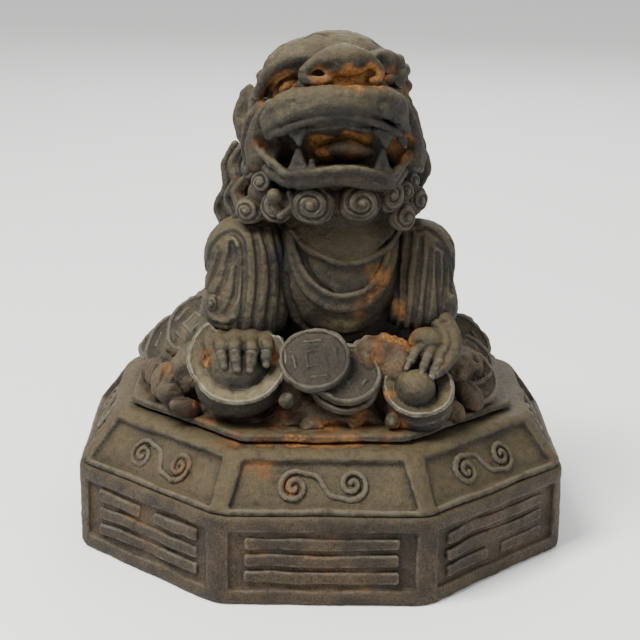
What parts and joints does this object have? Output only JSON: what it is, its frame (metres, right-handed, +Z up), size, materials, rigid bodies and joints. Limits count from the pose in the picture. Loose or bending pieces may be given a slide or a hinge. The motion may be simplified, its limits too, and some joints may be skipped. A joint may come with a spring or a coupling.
{
  "type": "guardian lion statue",
  "caption": "Cast-iron guardian lion with an open mouth, its paws on ingots and coins, on a hollow eight-sided pedestal.",
  "frame": {"origin": "centre of the pedestal's underside", "axes": "+Z up, the lion looks towards -Y, +X is to the right of someone who faces the lion"},
  "size_m": [0.12, 0.12, 0.1267],
  "materials": {
    "pedestal_wall_iron": "old cast iron, dark, finely pitted, brighter where corners are worn",
    "pedestal_top_iron": "old cast iron under khaki dust, rust in the corners",
    "rusted_iron": "rough cast iron with orange-brown rust in the hollows",
    "coin_iron": "old cast iron, worn to bare metal along the rims",
    "ingot_iron": "old cast iron, polished by wear on the rims",
    "worn_iron": "old cast iron, slightly polished by wear",
    "mane_iron": "old cast iron under khaki dust",
    "lion_iron": "old cast iron with khaki dust on top and rust in the grooves"
  },
  "bodies": {
    "root": {"pedestal_wall": "pedestal_wall_iron", "pedestal_slope": "pedestal_top_iron", "terrace_plate": "pedestal_top_iron", "wall_bars": "pedestal_wall_iron", "slope_scrolls": "pedestal_top_iron", "rock_mound": "rusted_iron", "left_rocks": "rusted_iron", "right_rocks": "rusted_iron", "front_coin_top": "coin_iron", "front_coin_middle": "coin_iron", "front_coin_bottom": "coin_iron", "left_coin_upper": "coin_iron", "left_coin_lower": "coin_iron", "left_coin_back": "coin_iron", "left_coin_tip": "coin_iron", "right_coin_upper": "coin_iron", "right_coin_middle": "coin_iron", "right_coin_lower": "coin_iron", "right_coin_edge": "coin_iron", "rear_coins": "coin_iron", "left_ingot_dish": "ingot_iron", "left_ingot_dome": "ingot_iron", "right_ingot_dish": "ingot_iron", "right_ball": "ingot_iron", "pearls": "coin_iron", "torso": "lion_iron", "chest_collar": "lion_iron", "chest_band": "lion_iron", "neck": "lion_iron", "left_haunch": "lion_iron", "right_haunch": "lion_iron", "left_hind_paw": "lion_iron", "right_hind_paw": "lion_iron", "left_foreleg": "lion_iron", "right_foreleg": "lion_iron", "left_paw": "lion_iron", "right_paw": "lion_iron", "left_claws": "worn_iron", "right_claws": "worn_iron", "left_wing": "lion_iron", "right_wing": "lion_iron", "skull": "lion_iron", "upper_jaw": "lion_iron", "nose": "lion_iron", "lower_jaw": "lion_iron", "tongue": "rusted_iron", "upper_fangs": "worn_iron", "lower_fangs": "worn_iron", "left_brow": "lion_iron", "right_brow": "lion_iron", "eyes": "lion_iron", "left_ear": "lion_iron", "right_ear": "lion_iron", "beard_curls": "mane_iron", "left_mane": "mane_iron", "right_mane": "mane_iron", "back_mane": "mane_iron", "tail": "mane_iron"}
  },
  "joints": []
}
